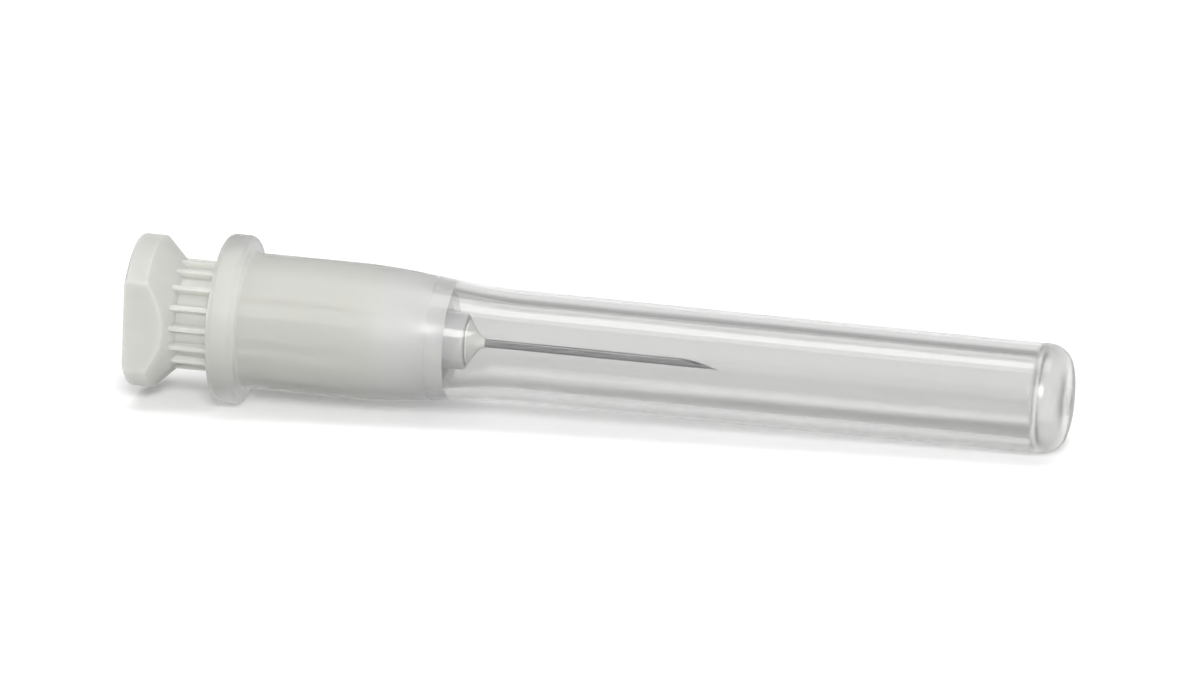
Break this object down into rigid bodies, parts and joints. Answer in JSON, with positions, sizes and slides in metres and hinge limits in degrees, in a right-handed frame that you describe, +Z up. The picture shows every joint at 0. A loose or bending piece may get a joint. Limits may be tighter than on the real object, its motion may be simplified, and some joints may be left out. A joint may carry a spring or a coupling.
{
  "type": "hypodermic needle",
  "caption": "Fine-bore hypodermic needle with a finned lug-lock hub, a bevelled steel cannula and a clear push-on shield that pulls off along the needle's axis.",
  "frame": {"origin": "on the table, under the middle of the object's box, as the capped needle comes to rest on its side", "axes": "+X along the table from the hub to the closed end of the shield, +Z up; the needle's axis dips 2.07 degrees towards the closed end"},
  "size_m": [0.0486, 0.0086, 0.0086],
  "materials": {
    "hub_plastic": "satin moulded light grey plastic",
    "steel": "drawn and ground stainless steel",
    "cured_adhesive": "glossy cured resin",
    "clear_plastic": "clear glossy moulded plastic, faintly grey"
  },
  "bodies": {
    "needle": {"hub": "hub_plastic", "cannula": "steel", "adhesive": "cured_adhesive"},
    "shield": {"shield": "clear_plastic"}
  },
  "joints": [
    {"name": "shield_pull", "type": "slide", "parent": "needle", "child": "shield", "axis": [0.9993, 0, -0.0361], "range_m": [0, 0.03]}
  ]
}
